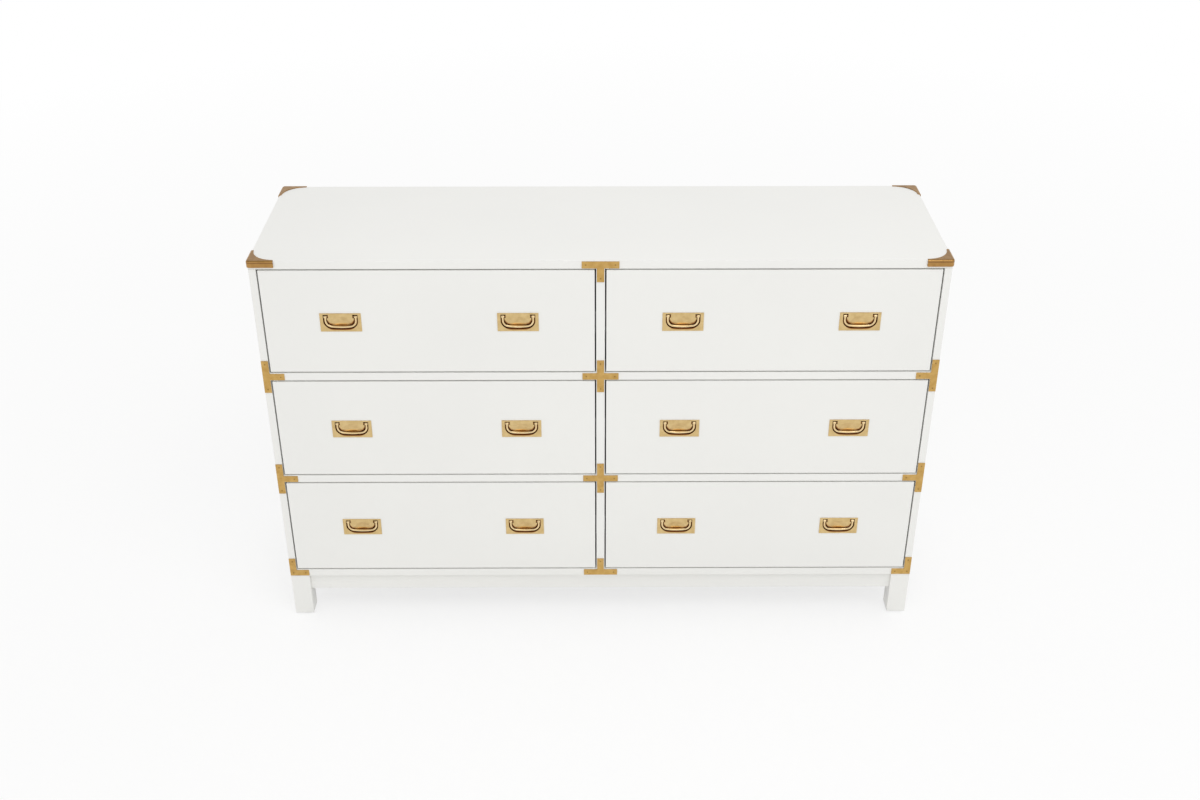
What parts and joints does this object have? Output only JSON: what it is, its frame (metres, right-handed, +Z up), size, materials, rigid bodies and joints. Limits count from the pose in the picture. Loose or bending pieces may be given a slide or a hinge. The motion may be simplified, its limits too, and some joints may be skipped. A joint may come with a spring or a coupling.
{
  "type": "campaign chest",
  "caption": "Low wide chest of drawers on short legs, with inset drawers on side slides, recessed pulls with swinging bails, and brass straps and corner caps.",
  "frame": {"origin": "on the floor, below the middle of the case", "axes": "+X to the viewer's right along the front, +Y from the front to the back, +Z up"},
  "size_m": [1.428, 0.406, 0.9015],
  "materials": {
    "white_paint": "satin white lacquer",
    "drawer_wood": "clear sealed birch",
    "back_board": "primed board",
    "brass": "satin brushed",
    "slide_steel": "zinc plated",
    "glide_plastic": "moulded"
  },
  "bodies": {
    "case": {"top_panel": "white_paint", "left_side_panel": "white_paint", "right_side_panel": "white_paint", "centre_divider": "white_paint", "bottom_panel": "white_paint", "back_panel": "back_board", "drawer_rails": "white_paint", "legs": "white_paint", "front_apron": "white_paint", "rear_apron": "white_paint", "side_aprons": "white_paint", "foot_glides": "glide_plastic", "top_corner_caps": "brass", "side_tee_brackets": "brass", "centre_tee_brackets": "brass", "cross_brackets": "brass", "bottom_corner_brackets": "brass", "case_slides": "slide_steel"},
    "lower_left_drawer": {"lower_left_drawer_front": "white_paint", "lower_left_drawer_box": "drawer_wood", "lower_left_drawer_bottom": "drawer_wood", "lower_left_drawer_slides": "slide_steel", "lower_left_drawer_pull_plates": "brass"},
    "lower_left_drawer_left_bail": {"lower_left_drawer_left_bail": "brass"},
    "lower_left_drawer_right_bail": {"lower_left_drawer_right_bail": "brass"},
    "lower_right_drawer": {"lower_right_drawer_front": "white_paint", "lower_right_drawer_box": "drawer_wood", "lower_right_drawer_bottom": "drawer_wood", "lower_right_drawer_slides": "slide_steel", "lower_right_drawer_pull_plates": "brass"},
    "lower_right_drawer_left_bail": {"lower_right_drawer_left_bail": "brass"},
    "lower_right_drawer_right_bail": {"lower_right_drawer_right_bail": "brass"},
    "middle_left_drawer": {"middle_left_drawer_front": "white_paint", "middle_left_drawer_box": "drawer_wood", "middle_left_drawer_bottom": "drawer_wood", "middle_left_drawer_slides": "slide_steel", "middle_left_drawer_pull_plates": "brass"},
    "middle_left_drawer_left_bail": {"middle_left_drawer_left_bail": "brass"},
    "middle_left_drawer_right_bail": {"middle_left_drawer_right_bail": "brass"},
    "middle_right_drawer": {"middle_right_drawer_front": "white_paint", "middle_right_drawer_box": "drawer_wood", "middle_right_drawer_bottom": "drawer_wood", "middle_right_drawer_slides": "slide_steel", "middle_right_drawer_pull_plates": "brass"},
    "middle_right_drawer_left_bail": {"middle_right_drawer_left_bail": "brass"},
    "middle_right_drawer_right_bail": {"middle_right_drawer_right_bail": "brass"},
    "upper_left_drawer": {"upper_left_drawer_front": "white_paint", "upper_left_drawer_box": "drawer_wood", "upper_left_drawer_bottom": "drawer_wood", "upper_left_drawer_slides": "slide_steel", "upper_left_drawer_pull_plates": "brass"},
    "upper_left_drawer_left_bail": {"upper_left_drawer_left_bail": "brass"},
    "upper_left_drawer_right_bail": {"upper_left_drawer_right_bail": "brass"},
    "upper_right_drawer": {"upper_right_drawer_front": "white_paint", "upper_right_drawer_box": "drawer_wood", "upper_right_drawer_bottom": "drawer_wood", "upper_right_drawer_slides": "slide_steel", "upper_right_drawer_pull_plates": "brass"},
    "upper_right_drawer_left_bail": {"upper_right_drawer_left_bail": "brass"},
    "upper_right_drawer_right_bail": {"upper_right_drawer_right_bail": "brass"}
  },
  "joints": [
    {"name": "lower_left_drawer_slide", "type": "slide", "parent": "case", "child": "lower_left_drawer", "axis": [0, -1, 0], "range_m": [0, 0.26]},
    {"name": "lower_left_drawer_left_bail_swing", "type": "hinge", "parent": "lower_left_drawer", "child": "lower_left_drawer_left_bail", "pos_m": [-0.535, -0.1985, 0.26065], "axis": [-1, 0, 0], "range_deg": [0, 90]},
    {"name": "lower_left_drawer_right_bail_swing", "type": "hinge", "parent": "lower_left_drawer", "child": "lower_left_drawer_right_bail", "pos_m": [-0.17, -0.1985, 0.26065], "axis": [-1, 0, 0], "range_deg": [0, 90]},
    {"name": "lower_right_drawer_slide", "type": "slide", "parent": "case", "child": "lower_right_drawer", "axis": [0, -1, 0], "range_m": [0, 0.26]},
    {"name": "lower_right_drawer_left_bail_swing", "type": "hinge", "parent": "lower_right_drawer", "child": "lower_right_drawer_left_bail", "pos_m": [0.17, -0.1985, 0.26065], "axis": [-1, 0, 0], "range_deg": [0, 90]},
    {"name": "lower_right_drawer_right_bail_swing", "type": "hinge", "parent": "lower_right_drawer", "child": "lower_right_drawer_right_bail", "pos_m": [0.535, -0.1985, 0.26065], "axis": [-1, 0, 0], "range_deg": [0, 90]},
    {"name": "middle_left_drawer_slide", "type": "slide", "parent": "case", "child": "middle_left_drawer", "axis": [0, -1, 0], "range_m": [0, 0.26]},
    {"name": "middle_left_drawer_left_bail_swing", "type": "hinge", "parent": "middle_left_drawer", "child": "middle_left_drawer_left_bail", "pos_m": [-0.535, -0.1985, 0.51765], "axis": [-1, 0, 0], "range_deg": [0, 90]},
    {"name": "middle_left_drawer_right_bail_swing", "type": "hinge", "parent": "middle_left_drawer", "child": "middle_left_drawer_right_bail", "pos_m": [-0.17, -0.1985, 0.51765], "axis": [-1, 0, 0], "range_deg": [0, 90]},
    {"name": "middle_right_drawer_slide", "type": "slide", "parent": "case", "child": "middle_right_drawer", "axis": [0, -1, 0], "range_m": [0, 0.26]},
    {"name": "middle_right_drawer_left_bail_swing", "type": "hinge", "parent": "middle_right_drawer", "child": "middle_right_drawer_left_bail", "pos_m": [0.17, -0.1985, 0.51765], "axis": [-1, 0, 0], "range_deg": [0, 90]},
    {"name": "middle_right_drawer_right_bail_swing", "type": "hinge", "parent": "middle_right_drawer", "child": "middle_right_drawer_right_bail", "pos_m": [0.535, -0.1985, 0.51765], "axis": [-1, 0, 0], "range_deg": [0, 90]},
    {"name": "upper_left_drawer_slide", "type": "slide", "parent": "case", "child": "upper_left_drawer", "axis": [0, -1, 0], "range_m": [0, 0.26]},
    {"name": "upper_left_drawer_left_bail_swing", "type": "hinge", "parent": "upper_left_drawer", "child": "upper_left_drawer_left_bail", "pos_m": [-0.535, -0.1985, 0.77465], "axis": [-1, 0, 0], "range_deg": [0, 90]},
    {"name": "upper_left_drawer_right_bail_swing", "type": "hinge", "parent": "upper_left_drawer", "child": "upper_left_drawer_right_bail", "pos_m": [-0.17, -0.1985, 0.77465], "axis": [-1, 0, 0], "range_deg": [0, 90]},
    {"name": "upper_right_drawer_slide", "type": "slide", "parent": "case", "child": "upper_right_drawer", "axis": [0, -1, 0], "range_m": [0, 0.26]},
    {"name": "upper_right_drawer_left_bail_swing", "type": "hinge", "parent": "upper_right_drawer", "child": "upper_right_drawer_left_bail", "pos_m": [0.17, -0.1985, 0.77465], "axis": [-1, 0, 0], "range_deg": [0, 90]},
    {"name": "upper_right_drawer_right_bail_swing", "type": "hinge", "parent": "upper_right_drawer", "child": "upper_right_drawer_right_bail", "pos_m": [0.535, -0.1985, 0.77465], "axis": [-1, 0, 0], "range_deg": [0, 90]}
  ]
}
